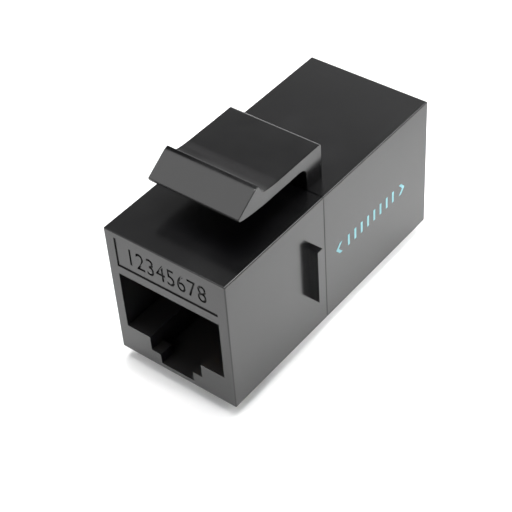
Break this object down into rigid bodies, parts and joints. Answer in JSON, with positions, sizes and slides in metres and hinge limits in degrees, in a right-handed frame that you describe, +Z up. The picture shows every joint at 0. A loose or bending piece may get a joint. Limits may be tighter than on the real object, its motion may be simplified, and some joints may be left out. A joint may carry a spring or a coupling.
{
  "type": "rj45 inline coupler",
  "caption": "Inline coupler that joins a pair of modular network plugs end to end, with a sprung latch, side stops and a fixed lug that hold it in a panel opening.",
  "frame": {"origin": "under the middle of the body, level with the foot of the fixed lug", "axes": "+X to the right side as seen from the front port, +Y from the front port to the rear port, +Z up to the latch"},
  "size_m": [0.0164, 0.0324, 0.0223],
  "materials": {
    "housing": "black moulded ABS, satin gloss",
    "carrier": "black moulded polyester, fine matt",
    "board": "glass-epoxy laminate under green solder mask",
    "contact": "phosphor bronze, gold plated"
  },
  "bodies": {
    "root": {"front_housing": "housing", "rear_housing": "housing", "circuit_board": "board", "front_contact_carrier": "carrier", "rear_contact_carrier": "carrier", "front_contact_1": "contact", "front_contact_2": "contact", "front_contact_3": "contact", "front_contact_4": "contact", "front_contact_5": "contact", "front_contact_6": "contact", "front_contact_7": "contact", "front_contact_8": "contact", "rear_contact_1": "contact", "rear_contact_2": "contact", "rear_contact_3": "contact", "rear_contact_4": "contact", "rear_contact_5": "contact", "rear_contact_6": "contact", "rear_contact_7": "contact", "rear_contact_8": "contact"}
  },
  "joints": []
}
